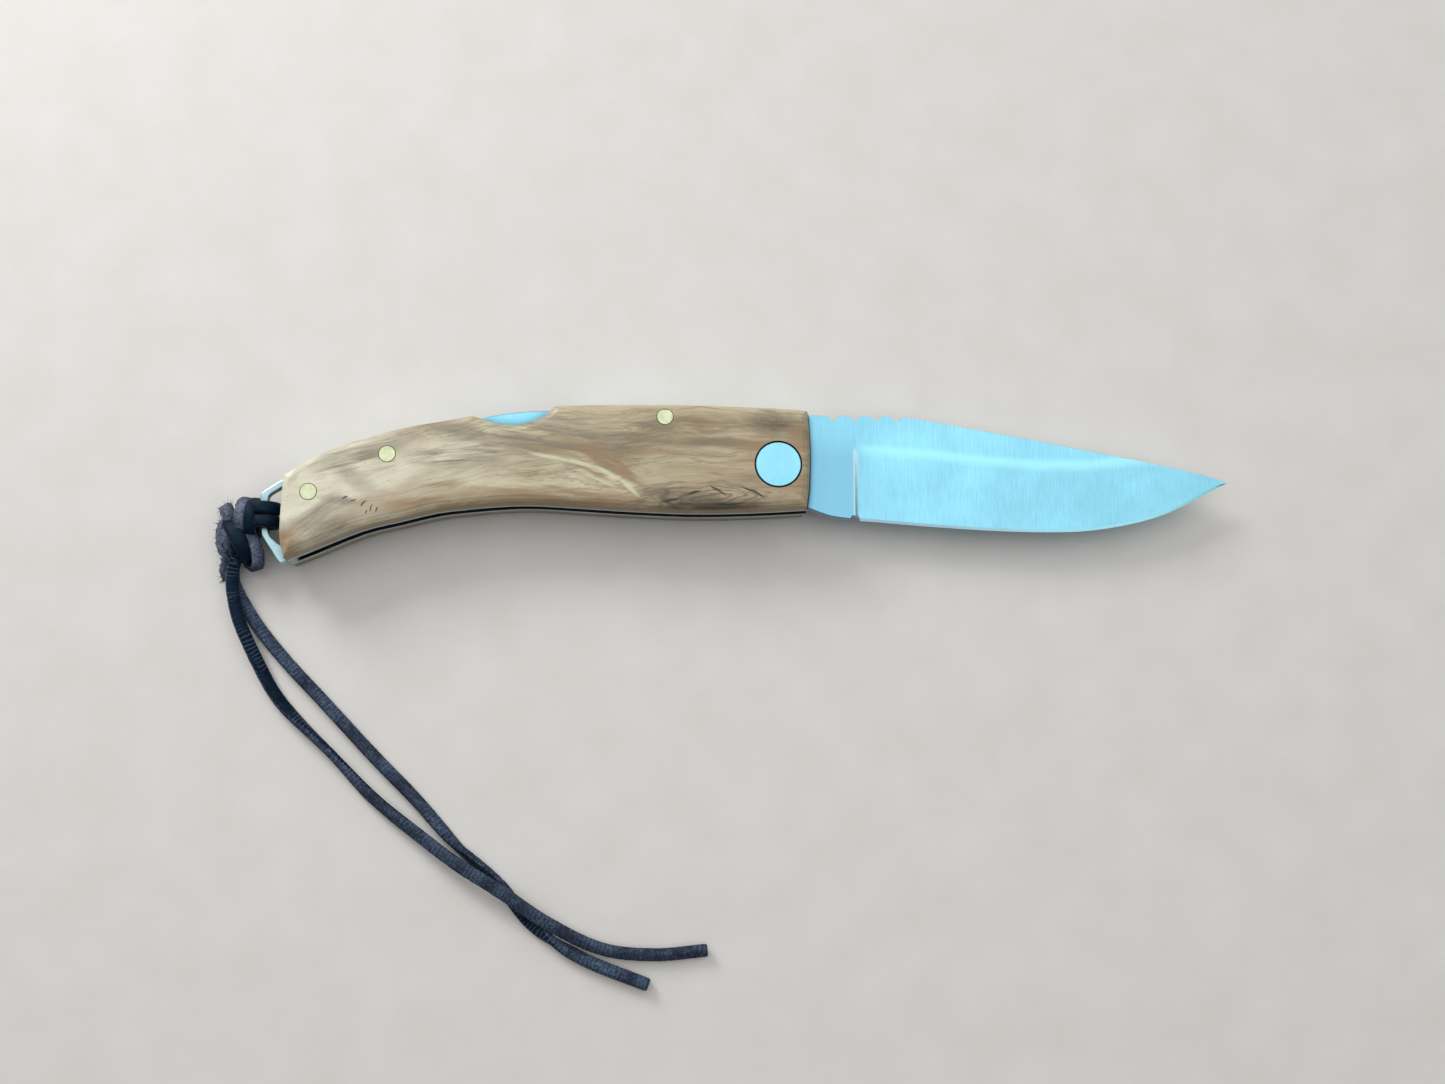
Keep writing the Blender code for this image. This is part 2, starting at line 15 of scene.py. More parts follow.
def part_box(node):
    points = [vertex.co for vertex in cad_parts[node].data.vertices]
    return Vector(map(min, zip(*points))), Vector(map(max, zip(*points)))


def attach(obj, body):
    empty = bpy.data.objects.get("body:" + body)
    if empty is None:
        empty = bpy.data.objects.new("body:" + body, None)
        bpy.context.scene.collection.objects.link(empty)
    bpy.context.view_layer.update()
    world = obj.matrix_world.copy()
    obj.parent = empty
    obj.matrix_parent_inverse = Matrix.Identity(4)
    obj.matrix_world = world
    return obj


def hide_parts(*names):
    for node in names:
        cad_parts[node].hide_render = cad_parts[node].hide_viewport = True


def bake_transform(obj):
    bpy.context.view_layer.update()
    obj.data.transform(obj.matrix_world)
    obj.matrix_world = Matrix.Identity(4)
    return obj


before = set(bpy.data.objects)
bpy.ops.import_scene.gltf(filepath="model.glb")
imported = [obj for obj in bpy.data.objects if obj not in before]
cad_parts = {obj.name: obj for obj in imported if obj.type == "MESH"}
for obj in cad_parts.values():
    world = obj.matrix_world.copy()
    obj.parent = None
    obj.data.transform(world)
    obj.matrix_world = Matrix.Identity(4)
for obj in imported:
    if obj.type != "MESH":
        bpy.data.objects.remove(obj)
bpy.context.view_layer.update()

MM = 0.001

# The camera looks almost straight down, a little from the side of the knife's edge.
EYE = Vector((-21.14, -60.86, 286.1)) * MM
AIM = Vector((-10.15, -12.95, 0.0)) * MM
LENS_MM = 36.72

# The sky is bright behind the knife's spine and dim on the side of its edge.
SKY_DIM = 0.08
SKY_BRIGHT = 0.42
# Where the sky starts to brighten and where it is brightest: Y of a direction of length 1.
SKY_DIM_END = -1.0
SKY_BRIGHT_START = 0.6
SKY_COLOUR = (0.97, 0.98, 1.0)

FLOOR_HALF = 1.5
FLOOR_DROP = 0.02 * MM

# The leather lace, which is flat: one smooth side and one rough side.
LACE_WIDTH = 2.4 * MM
LACE_THICK = 1.75 * MM
LACE_SIZE = (LACE_WIDTH, LACE_THICK)
LACE_SIDES = 16
LACE_SQUARE = 3.2  # power of the superellipse that the lace's section is
SMOOTH_FROM = 0.3  # sine of the angle round the section where its smooth side starts
LACE_STEP = 0.45 * MM
CUT_END_SHARE = 0.86  # size of a cut end against the lace's full section
RUFFLE_SCALE = 1900
RUFFLE = 0.05
SMOOTH_RUFFLE = 0.35  # how much of the ruffle the smooth side has too
FLOOR_GAP = 0.06 * MM

# The loops round the bail, in millimetres: from a loop's box to the lace's middle line above and below
# and in front, and from its front to where the turn round the bar starts.
LOOP_INSET = 1.35
LOOP_FRONT_INSET = 0.95
LOOP_FRONT = 3.4
LOOP_STEPS = 8

# Routes of the two free strands in millimetres. The root is the part inside the knot.
LONG_ROOT = [(-102.9, -16.0, 4.7), (-103.6, -18.1, 4.3)]
SHORT_ROOT = [(-104.5, -17.8, 1.5)]
LONG_STRAND = [
    (-104.0, -20.3, 3.9), (-103.9, -23.1, 3.8), (-102.5, -29.1, 3.4), (-99.0, -37.0, 1.9),
    (-94.2, -44.8, 1.2), (-84.1, -54.7, 1.2), (-76.2, -62.6, 1.5), (-66.7, -69.9, 2.6),
    (-59.3, -75.1, 3.7), (-51.6, -79.8, 3.8), (-43.1, -85.4, 3.1), (-33.0, -90.3, 1.6),
    (-23.0, -91.5, 1.2), (-13.0, -90.7, 1.2),
]
SHORT_STRAND = [
    (-104.7, -20.3, 1.2), (-103.7, -23.4, 1.2), (-99.6, -29.9, 1.2), (-93.6, -37.0, 1.2),
    (-86.5, -44.3, 1.2), (-76.2, -55.0, 1.2), (-68.3, -62.8, 1.2), (-60.4, -71.3, 1.2),
    (-52.6, -78.1, 1.2), (-45.7, -86.0, 1.2), (-36.7, -92.0, 1.2), (-24.0, -97.0, 1.2),
]
# How far the smooth side of each strand is rolled over, in degrees, at equal steps along it.
LONG_ROLL = [-35, -25, -40, -95, -130, -150, -165, -150, -140, -140]
SHORT_ROLL = [140, 150, 160, 165, 150, 130, 60, 20, 140, 160]


def linked(name, data):
    """A new object of that mesh, light or camera, in the scene."""
    made = bpy.data.objects.new(name, data)
    bpy.context.scene.collection.objects.link(made)
    return made


def millimetres(*values):
    return tuple(value * MM for value in values)


def middle_of(node):
    """The middle of a CAD node, across X and Y, in millimetres."""
    low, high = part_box(node)
    return ((low.x + high.x) / 2 / MM, (low.y + high.y) / 2 / MM)


# ---------------------------------------------------------------- camera, light and floor


def make_camera():
    camera = linked("camera", bpy.data.cameras.new("camera"))
    camera.data.lens = LENS_MM
    camera.data.clip_start = 0.01
    forward = (AIM - EYE).normalized()
    right = forward.cross(Vector((0, 1, 0))).normalized()
    up = right.cross(forward)
    turn = Matrix((right, up, -forward)).transposed().to_4x4()
    camera.matrix_world = Matrix.Translation(EYE) @ turn
    bpy.context.scene.camera = camera


def make_softbox(name, place, aim, size, power):
    light = bpy.data.lights.new(name, "AREA")
    light.shape = "RECTANGLE"
    light.size, light.size_y = size
    light.energy = power
    box = linked(name, light)
    box.location = place
    box.rotation_euler = (Vector(aim) - Vector(place)).to_track_quat("-Z", "Y").to_euler()


def make_studio():
    """A plain sky, brighter behind the knife's spine, and two softboxes."""
    world = bpy.data.worlds.new("studio")
    world.use_nodes = True
    nodes, links = world.node_tree.nodes, world.node_tree.links
    direction = nodes.new("ShaderNodeTexCoord").outputs["Generated"]
    parts = nodes.new("ShaderNodeSeparateXYZ")
    wall = nodes.new("ShaderNodeMapRange")
    links.new(direction, parts.inputs[0])
    links.new(parts.outputs["Y"], wall.inputs["Value"])
    wall.inputs["From Min"].default_value = SKY_DIM_END
    wall.inputs["From Max"].default_value = SKY_BRIGHT_START
    wall.inputs["To Min"].default_value = SKY_DIM
    wall.inputs["To Max"].default_value = SKY_BRIGHT
    links.new(wall.outputs["Result"], nodes["Background"].inputs["Strength"])
    nodes["Background"].inputs["Color"].default_value = (*SKY_COLOUR, 1.0)
    bpy.context.scene.world = world
    make_softbox(
        "softbox_above", place=(0.10, 0.16, 0.80), aim=(0.05, 0.08, 0), size=(1.3, 1.1), power=4.3
    )
    make_softbox(
        "softbox_back_left", place=(-0.40, 0.45, 0.35), aim=(-0.02, 0, 0), size=(0.25, 0.25), power=2.6
    )
    bpy.context.scene.view_settings.view_transform = "Standard"


def make_floor():
    mesh = bpy.data.meshes.new("floor")
    work = bmesh.new()
    bmesh.ops.create_grid(work, x_segments=1, y_segments=1, size=FLOOR_HALF)
    work.to_mesh(mesh)
    work.free()
    floor = linked("floor", mesh)
    floor.location.z = -FLOOR_DROP
    looks = Looks("pale_floor", {"Roughness": 0.6})
    grain = looks.noise(looks.place(), 90, detail=3)
    looks.colour(looks.ramp(grain, [(0.3, (0.70, 0.68, 0.64)), (0.7, (0.74, 0.72, 0.69))]))
    mesh.materials.append(looks.material)


# ---------------------------------------------------------------- materials


class Looks:
    """A material, with short calls for the nodes that the materials here are made of."""

    def __init__(self, name, constants):
        self.material = bpy.data.materials.new(name)
        self.material.use_nodes = True
        self.nodes = self.material.node_tree.nodes
        self.shader = self.nodes["Principled BSDF"]
        for word, value in constants.items():
            self.shader.inputs[word].default_value = value

    def add(self, kind, inputs, **settings):
        made = self.nodes.new(kind)
        for word, value in settings.items():
            setattr(made, word, value)
        for key, value in inputs.items():
            self.feed(made.inputs[key], value)
        return made

    def feed(self, socket, value):
        if isinstance(value, bpy.types.NodeSocket):
            self.material.node_tree.links.new(value, socket)
        else:
            socket.default_value = value

    def place(self, centre=(0, 0, 0), turn=0.0, size=(1, 1, 1)):
        """Coordinates in metres, measured from a centre, in a turned and stretched frame."""
        coordinates = self.add("ShaderNodeTexCoord", {}).outputs["Object"]
        return self.mapped(coordinates, centre, turn, size)

    def mapped(self, vector, centre=(0, 0, 0), turn=0.0, size=(1, 1, 1)):
        inputs = {"Vector": vector, "Location": centre, "Rotation": (0, 0, turn), "Scale": size}
        return self.add("ShaderNodeMapping", inputs, vector_type="TEXTURE").outputs[0]

    def facing(self, axis):
        """How far a face looks along one of the object's axes, from -1 to 1."""
        normal = self.add("ShaderNodeTexCoord", {}).outputs["Normal"]
        return self.add("ShaderNodeSeparateXYZ", {"Vector": normal}).outputs[axis]

    def attribute(self, name):
        return self.add("ShaderNodeAttribute", {}, attribute_name=name).outputs["Fac"]

    def noise(self, vector, scale, detail=4.0, rough=0.5, distortion=0.0):
        inputs = {"Vector": vector, "Scale": scale, "Detail": detail}
        inputs.update({"Roughness": rough, "Distortion": distortion})
        return self.add("ShaderNodeTexNoise", inputs).outputs["Fac"]

    def warped(self, vector, scale, amount):
        """The vector, pushed about by a noise of that scale."""
        cloud = self.add("ShaderNodeTexNoise", {"Vector": vector, "Scale": scale, "Detail": 2.0})
        inputs = {0: cloud.outputs["Color"], 1: (0.5, 0.5, 0.5)}
        centred = self.add("ShaderNodeVectorMath", inputs, operation="SUBTRACT")
        inputs = {0: centred.outputs[0], 1: (amount, amount, amount), 2: vector}
        return self.add("ShaderNodeVectorMath", inputs, operation="MULTIPLY_ADD").outputs[0]

    def math(self, operation, first, second=0.0):
        return self.add("ShaderNodeMath", {0: first, 1: second}, operation=operation).outputs[0]

    def times(self, first, second):
        return self.math("MULTIPLY", first, second)

    def ramp(self, value, stops):
        """Colours along a value. A stop's colour is (red, green, blue), or one number for a grey."""
        made = self.add("ShaderNodeValToRGB", {"Fac": value})
        elements = made.color_ramp.elements
        while len(elements) < len(stops):
            elements.new(0.5)
        for element, (position, colour) in zip(elements, stops):
            element.position = position
            rgb = colour if isinstance(colour, tuple) else (colour, colour, colour)
            element.color = (*rgb, 1.0)
        return made.outputs["Color"]

    def mix(self, amount, first, second, blend="MIX"):
        made = self.add("ShaderNodeMix", {"Factor": amount}, data_type="RGBA", blend_type=blend)
        for socket, value in zip(made.inputs[6:8], (first, second)):
            self.feed(socket, (*value, 1.0) if isinstance(value, tuple) else value)
        return made.outputs[2]

    def blob(self, vector, centre, size, turn=0.0):
        """A soft spot, 1 in its middle and 0 past its edge.

        The centre and the size, half the spot's length and width, are in millimetres; turn in degrees.
        """
        place, half = millimetres(*centre, 0), (*millimetres(*size), 1.0)
        local = self.mapped(vector, place, math.radians(turn), half)
        spot = self.add("ShaderNodeTexGradient", {"Vector": local}, gradient_type="SPHERICAL")
        return spot.outputs["Fac"]

    def colour(self, value):
        self.feed(self.shader.inputs["Base Color"], value)

    def roughness(self, value):
        self.feed(self.shader.inputs["Roughness"], value)

    def bump(self, height, distance, strength=1.0):
        """Relief of that depth in metres. A second call adds to the first."""
        inputs = {"Height": height, "Distance": distance, "Strength": strength}
        made = self.add("ShaderNodeBump", inputs)
        socket = self.shader.inputs["Normal"]
        if socket.is_linked:
            self.feed(made.inputs["Normal"], socket.links[0].from_socket)
        self.feed(socket, made.outputs["Normal"])


DARK_STAIN = (0.085, 0.070, 0.045)
BROWN_STAIN = (0.31, 0.205, 0.110)
GREY_STAIN = (0.22, 0.185, 0.13)
PALE_STAIN = (0.82, 0.79, 0.63)
PALE_WOOD = (0.68, 0.66, 0.50)
CRACK_WOOD = (0.035, 0.028, 0.022)

# The rivets, and how far out, in millimetres, the painted dark ring of shade round each reaches, where
# the gap round its head is.
RIVETS = ["lock_pin", "spacer_pin_front", "spacer_pin_rear"]
RIVET_SHADE_RING = 2.0

# The scales' markings. Places and half sizes are in millimetres, and turns in degrees.
# Each stain: middle, half sizes, turn, colour and strength.
NEAR_STAINS = [
    ((-90.0, -5.0), (28.0, 17.0), 20, PALE_STAIN, 0.85),
    ((-64.0, -1.0), (20.0, 8.0), 10, PALE_STAIN, 0.5),
    ((2.0, 1.0), (26.0, 16.0), 0, BROWN_STAIN, 0.45),
    ((-52.0, -8.0), (32.0, 4.0), 0, BROWN_STAIN, 0.75),
    ((-30.0, 10.0), (24.0, 4.0), -2, BROWN_STAIN, 0.45),
    ((-63.0, 6.5), (9.0, 1.9), -8, GREY_STAIN, 0.8),
    ((-72.0, 6.0), (7.0, 1.6), -18, GREY_STAIN, 0.5),
    ((-45.0, 7.0), (13.0, 1.5), -5, GREY_STAIN, 0.55),
    ((-47.0, 3.2), (13.0, 1.3), -11, BROWN_STAIN, 0.6),
    ((-34.0, 1.6), (8.5, 1.2), -20, BROWN_STAIN, 0.9),
    ((-28.6, -1.6), (6.0, 1.0), -38, BROWN_STAIN, 0.9),
    ((-22.0, -5.8), (7.0, 1.8), -6, DARK_STAIN, 0.6),
    ((-13.0, -7.9), (16.0, 2.3), 2, DARK_STAIN, 0.95),
    ((-84.0, -12.2), (7.0, 3.0), 25, GREY_STAIN, 1.0),
    ((-80.5, -3.0), (6.5, 2.6), -25, GREY_STAIN, 0.55),
    ((-85.5, 0.0), (7.0, 1.8), 22, GREY_STAIN, 0.6),
    ((-86.5, -10.2), (5.0, 1.8), 40, GREY_STAIN, 0.6),
    ((-82.0, -7.6), (5.5, 1.1), -8, GREY_STAIN, 0.7),
    ((-91.6, -15.0), (5.0, 3.6), 60, BROWN_STAIN, 1.0),
    ((-89.8, -16.2), (3.5, 1.2), 20, DARK_STAIN, 0.5),
    ((-90.6, -3.4), (2.6, 1.0), 60, GREY_STAIN, 0.45),
    ((-76.0, -8.8), (9.0, 3.2), 20, BROWN_STAIN, 0.45),
    ((-75.0, 2.2), (8.0, 1.8), 14, GREY_STAIN, 0.5),
    ((-68.0, -3.5), (9.0, 1.6), 22, BROWN_STAIN, 0.35),
    ((-0.5, 8.2), (8.0, 2.8), -14, DARK_STAIN, 0.85),
    ((3.8, 5.2), (2.8, 4.2), 12, BROWN_STAIN, 0.7),
    ((-8.0, 3.0), (9.0, 1.2), -12, BROWN_STAIN, 0.45),
]
# Each patch of flowing streaks: middle, half sizes, turn and colour.
NEAR_FIGURE = [
    ((-45.0, 5.0), (20.0, 6.0), -9, GREY_STAIN),
    ((-33.0, -0.5), (12.0, 5.0), -27, BROWN_STAIN),
    ((-12.0, 4.0), (18.0, 7.0), -3, BROWN_STAIN),
    ((-42.0, -6.0), (18.0, 3.5), -4, BROWN_STAIN),
    ((-60.0, 2.0), (12.0, 4.0), 4, GREY_STAIN),
    ((-20.0, 6.0), (20.0, 4.0), -2, GREY_STAIN),
    ((-85.5, -11.5), (8.0, 4.0), 34, GREY_STAIN),
    ((-80.0, -0.5), (9.0, 4.5), 14, GREY_STAIN),
    ((-66.0, -6.5), (10.0, 3.0), 12, BROWN_STAIN),
]
# The small knot: middle and half sizes. Each pale streak and each crack: middle, half sizes and turn.
NEAR_KNOT = ((-13.5, -6.6), (15.0, 4.2))
NEAR_PALE = [
    ((-43.5, 1.2), (5.0, 0.55), -12),
    ((-37.5, -0.3), (5.0, 0.6), -16),
    ((-32.4, -2.1), (4.0, 0.6), -26),
    ((-28.2, -4.6), (3.6, 0.6), -40),
]
NEAR_CRACKS = [
    ((-16.4, -6.3), (2.2, 0.34), 14),
    ((-11.4, -4.9), (2.2, 0.30), -12),
    ((-4.6, -5.4), (3.6, 0.34), -24),
    ((-20.5, -7.2), (2.4, 0.30), 10),
    ((-9.5, -7.2), (3.0, 0.26), 4),
    ((-79.6, -7.5), (0.9, 0.20), 20),
    ((-81.4, -7.0), (0.8, 0.24), 30),
    ((-78.0, -8.3), (0.7, 0.18), 35),
    ((-76.6, -9.2), (0.8, 0.16), 50),
    ((-75.6, -9.6), (0.7, 0.15), 50),
    ((-77.6, -9.6), (0.6, 0.15), 50),
]

FAR_STAINS = [
    ((-88.0, -6.0), (24.0, 14.0), 20, PALE_STAIN, 0.5),
    ((-2.0, 0.0), (24.0, 14.0), 0, BROWN_STAIN, 0.4),
    ((-66.0, 4.4), (9.0, 1.6), -14, BROWN_STAIN, 0.6),
    ((-30.0, 3.0), (12.0, 1.6), -6, BROWN_STAIN, 0.6),
    ((-12.0, -5.0), (9.0, 1.8), 8, DARK_STAIN, 0.6),
    ((-82.0, -8.0), (7.0, 1.8), 28, GREY_STAIN, 0.6),
]
FAR_FIGURE = [
    ((-50.0, 2.0), (22.0, 6.0), 4, BROWN_STAIN),
    ((-16.0, -1.0), (16.0, 6.0), 6, GREY_STAIN),
]
FAR_KNOT = ((-58.0, -2.5), (9.0, 4.0))
FAR_PALE = [((-44.0, -2.2), (9.0, 0.7), 6), ((-20.0, 6.0), (6.0, 0.6), -4)]
FAR_CRACKS = [((-14.0, -3.8), (2.4, 0.28), 12), ((-70.0, -1.0), (1.6, 0.24), 26)]


def bent_grain(looks, shift):
    """Coordinates that follow the handle's bend, so that the grain runs along it.

    The handle's middle line drops towards its tail as a parabola does: bend times x squared.
    """
    bend = 1.5
    coordinates = looks.place(centre=shift)
    parts = looks.add("ShaderNodeSeparateXYZ", {"Vector": coordinates})
    squared = looks.math("MULTIPLY", parts.outputs["X"], parts.outputs["X"])
    lifted = looks.math("MULTIPLY_ADD", squared, bend)
    looks.feed(lifted.node.inputs[2], parts.outputs["Y"])
    inputs = {"X": parts.outputs["X"], "Y": lifted, "Z": parts.outputs["Z"]}
    return looks.add("ShaderNodeCombineXYZ", inputs).outputs[0]


def wood_body(looks, grain):
    """The wood's ground: soft clouds along the grain, with faint streaks and fine fibres."""
    clouds = looks.noise(looks.mapped(grain, size=(1, 0.24, 0.3)), 26, detail=4, rough=0.5)
    body = looks.ramp(
        clouds,
        [
            (0.30, (0.35, 0.270, 0.160)),
            (0.44, (0.49, 0.415, 0.265)),
            (0.56, (0.60, 0.535, 0.360)),
            (0.72, (0.71, 0.660, 0.470)),
        ],
    )
    streaks = looks.noise(looks.mapped(grain, size=(1, 0.07, 0.12)), 55, detail=4, rough=0.55)
    shades = looks.ramp(streaks, [(0.34, 0.70), (0.50, 1.0), (0.70, 1.08)])
    body = looks.mix(0.6, body, shades, "MULTIPLY")
    along = looks.mapped(grain, size=(1, 0.10, 0.2))
    veins = looks.noise(along, 34, detail=6, rough=0.6, distortion=0.3)
    thin = looks.ramp(veins, [(0.46, 1.0), (0.487, 0.55), (0.497, 0.55), (0.53, 1.0)])
    body = looks.mix(0.7, body, thin, "MULTIPLY")
    fibres = looks.noise(looks.mapped(grain, size=(1, 0.05, 0.05)), 230, detail=5, rough=0.65)
    body = looks.mix(0.7, body, looks.ramp(fibres, [(0.30, 0.74), (0.6, 1.05)]), "MULTIPLY")
    return body, fibres


def wood_figure(looks, body, figure):
    """Streaks that leave the grain's line, where it flows round a knot."""
    plain = looks.warped(looks.place(), 90, 0.004)
    for centre, size, turn, colour in figure:
        turned = looks.place(turn=math.radians(turn), size=(1, 0.09, 0.2))
        lines = looks.noise(looks.warped(turned, 30, 0.012), 70, detail=4, rough=0.55)
        spot = looks.ramp(looks.blob(plain, centre, size, turn), [(0.0, 0.0), (0.55, 1.0)])
        shown = looks.times(spot, looks.ramp(lines, [(0.40, 0.85), (0.56, 0.0)]))
        body = looks.mix(shown, body, colour)
    return body


def wood_knot(looks, body, centre, size):
    """Wavy rings round a small knot."""
    local = looks.place(centre=millimetres(*centre, 0), size=(*millimetres(*size), 1))
    local = looks.warped(looks.warped(local, 1.1, 0.9), 4.0, 0.25)
    inputs = {"Vector": local, "Scale": 1.7, "Distortion": 3.0, "Detail": 2.0, "Detail Scale": 1.4}
    rings = looks.add("ShaderNodeTexWave", inputs, wave_type="RINGS", rings_direction="Z")
    near = looks.add("ShaderNodeTexGradient", {"Vector": local}, gradient_type="SPHERICAL")
    lines = looks.ramp(rings.outputs["Fac"], [(0.12, 1.0), (0.5, 0.0)])
    shown = looks.times(looks.ramp(near.outputs["Fac"], [(0.0, 0.0), (0.5, 0.6)]), lines)
    return looks.mix(shown, body, DARK_STAIN)


def olive_wood(name, shift, stains, figure, knot, pale_streaks, cracks):
    """Figured olive wood: cream, with brown clouds and streaks along the grain, stains and pores."""
    looks = Looks(name, {"Specular IOR Level": 0.4, "Coat Weight": 0.15, "Coat Roughness": 0.35})
    grain = looks.warped(bent_grain(looks, shift), 38, 0.008)
    wavy = looks.warped(looks.place(), 160, 0.0035)
    smooth = looks.warped(looks.place(), 60, 0.0015)
    body, fibres = wood_body(looks, grain)
    mottle = looks.noise(looks.mapped(grain, size=(1, 0.3, 0.3)), 150, detail=3, rough=0.55)
    for centre, size, turn, colour, amount in stains:
        spot = looks.blob(wavy, centre, size, turn)
        faded = looks.times(looks.ramp(spot, [(0.02, 0.0), (0.66, 1.0)]), amount)
        broken = looks.times(faded, looks.ramp(mottle, [(0.35, 1.0), (0.68, 0.55)]))
        body = looks.mix(broken, body, colour)
    body = wood_figure(looks, body, figure)
    body = wood_knot(looks, body, *knot)
    for centre, size, turn in pale_streaks:
        spot = looks.blob(smooth, centre, size, turn)
        body = looks.mix(looks.ramp(spot, [(0.1, 0.0), (0.6, 0.8)]), body, PALE_WOOD)
    for centre, size, turn in cracks:
        spot = looks.blob(wavy, centre, size, turn)
        body = looks.mix(looks.ramp(spot, [(0.12, 0.0), (0.45, 0.9)]), body, CRACK_WOOD)

    # Painted shade: a dark ring in the wood round each rivet head, as the shadow in its gap.
    for rivet in RIVETS:
        spot = looks.blob(looks.place(), middle_of(rivet), (RIVET_SHADE_RING, RIVET_SHADE_RING))
        body = looks.mix(looks.ramp(spot, [(0.14, 0.0), (0.21, 0.85)]), body, DARK_STAIN)

    specks = looks.noise(looks.mapped(grain, size=(1, 0.14, 0.2)), 480, detail=2, rough=0.5)
    pores = looks.ramp(specks, [(0.24, 0.0), (0.33, 1.0)])
    body = looks.mix(0.7, body, looks.ramp(specks, [(0.23, 0.40), (0.34, 1.0)]), "MULTIPLY")
    # Painted shade: faces looking down towards the edge side (-Y) are browned.
    painted_shade_below = looks.ramp(looks.times(looks.facing("Y"), -1.0), [(0.7, 0.0), (0.95, 0.7)])
    body = looks.mix(painted_shade_below, body, BROWN_STAIN)
    # Painted shade: darker where little light gets in.
    looks.colour(painted_shade(looks, body, reach=6.0))
    looks.roughness(looks.ramp(fibres, [(0.3, 0.60), (0.7, 0.42)]))
    looks.bump(pores, 0.05 * MM, 0.6)
    looks.bump(fibres, 0.03 * MM, 0.5)
    return looks.material


BLADE_LONG = 100.0
# The line where the blade's flat meets its bevel, from the plunge to the spine, in millimetres.
GRIND_LINE = [
    (15.2, 4.3), (24.1, 3.7), (30.0, 3.4), (38.2, 2.4), (51.2, 1.4), (62.0, 1.55), (70.5, 2.6),
]
BLUE_STEEL = (0.295, 0.70, 0.87)
# The next two are painted highlight colours: on the grind line and the edge near the tip, and on the
# plunge and the spine.
BRIGHT_HIGHLIGHT_STEEL = (0.42, 0.90, 0.97)
WHITE_HIGHLIGHT_STEEL = (0.85, 0.97, 0.98)
TANG_STEEL = (0.20, 0.46, 0.62)
GREY_STEEL = (0.34, 0.44, 0.52)
# Near black: painted shade on the liners' flat faces inside the slot.
SLOT_SHADE_STEEL = (0.02, 0.028, 0.034)


def brushed(looks, colour, brush, rough, turn=0.0):
    """Fine brushed lines and a faint haze. brush is the lines' size along X and along Y, in mm."""
    place = looks.place(turn=math.radians(turn), size=millimetres(*brush, 0.4))
    lines = looks.noise(place, 1.0, detail=5, rough=0.62)
    haze = looks.noise(looks.place(), 85, detail=3, rough=0.6)
    looks.roughness(looks.ramp(lines, [(0.25, rough - 0.06), (0.75, rough + 0.10)]))
    looks.bump(lines, 0.012 * MM, 0.5)
    base = looks.mix(1.0, colour, looks.ramp(lines, [(0.3, 0.88), (0.7, 1.06)]), "MULTIPLY")
    return looks.mix(1.0, base, looks.ramp(haze, [(0.3, 0.87), (0.7, 1.06)]), "MULTIPLY")


def painted_shade(looks, base, reach=4.0):
    """Painted shade: darkens the base colour where little light gets in, by ambient occlusion."""
    inputs = {"Distance": reach * MM}
    light = looks.add("ShaderNodeAmbientOcclusion", inputs, samples=8).outputs["AO"]
    return looks.mix(1.0, base, looks.ramp(light, [(0.2, 0.02), (0.5, 0.30), (0.8, 1.0)]), "MULTIPLY")


def satin_steel(name, colour, brush, rough=0.30, turn=0.0):
    looks = Looks(name, {"Metallic": 1.0})
    # Painted shade: darker where little light gets in.
    looks.colour(painted_shade(looks, brushed(looks, colour, brush, rough, turn=turn)))
    return looks.material


def liner_steel(name, colour):
    """The liners: their cut edges keep the steel's colour, and their flat faces inside the slot are
    painted near black as shade.
    """
    looks = Looks(name, {"Metallic": 1.0})
    base = brushed(looks, colour, (1.6, 0.2), 0.30)
    # Painted shade: the flat faces are turned near black, and all of it is darker where little light gets
    # in.
    flat = looks.ramp(looks.math("ABSOLUTE", looks.facing("Z")), [(0.8, 0.0), (0.95, 0.92)])
    looks.colour(painted_shade(looks, looks.mix(flat, base, SLOT_SHADE_STEEL)))
    return looks.material


